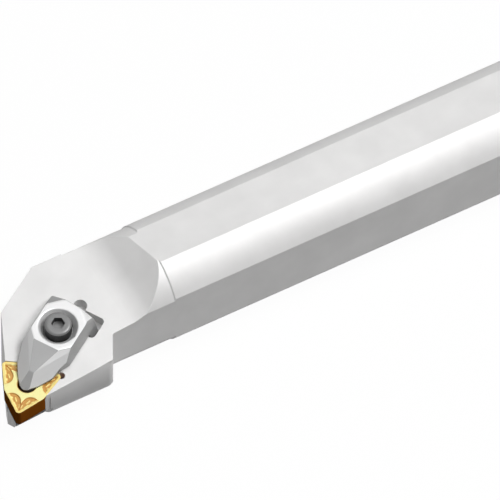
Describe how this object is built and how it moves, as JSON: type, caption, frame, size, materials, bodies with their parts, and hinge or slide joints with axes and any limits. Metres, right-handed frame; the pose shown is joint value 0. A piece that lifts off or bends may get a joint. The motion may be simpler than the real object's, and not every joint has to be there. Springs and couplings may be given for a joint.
{
  "type": "boring bar",
  "caption": "Right-hand indexable boring bar: flatted round steel shank, trigon insert on a shim, hooked top clamp on a socket screw.",
  "frame": {"origin": "on the shank's axis, in the rear face of the shank", "axes": "+X runs along the bar from the cutting head to the rear end, -Y is the cutting side, +Z is square to the top flat; the cutting edge is at the height of the axis"},
  "size_m": [0.2, 0.0295, 0.023],
  "materials": {
    "bar_steel": "satin",
    "clamp_steel": "satin",
    "carbide": "coated",
    "shim_dark": "dark",
    "black_oxide": "satin black",
    "spring_wire": "bright"
  },
  "bodies": {
    "bar": {"bar_body": "bar_steel", "cutting_insert": "carbide", "shim": "shim_dark", "shim_screw": "black_oxide", "clamp_spring": "spring_wire"},
    "clamp_body": {"clamp": "clamp_steel"},
    "screw_body": {"clamp_screw": "black_oxide"}
  },
  "joints": [
    {"name": "clamp_lift", "type": "slide", "parent": "bar", "child": "clamp_body", "axis": [-0.1031, -0.1659, 0.9807], "range_m": [0, 0.003], "deforming": ["clamp_spring"]},
    {"name": "screw_turn", "type": "hinge", "parent": "clamp_body", "child": "screw_body", "pos_m": [-0.18399, -0.00567, 0.00362], "axis": [-0.1031, -0.1659, 0.9807], "range_deg": [0, 2160]}
  ],
  "couplings": [
    {"joint": "screw_turn", "follows": "clamp_lift", "rad_per_m": 12566}
  ]
}
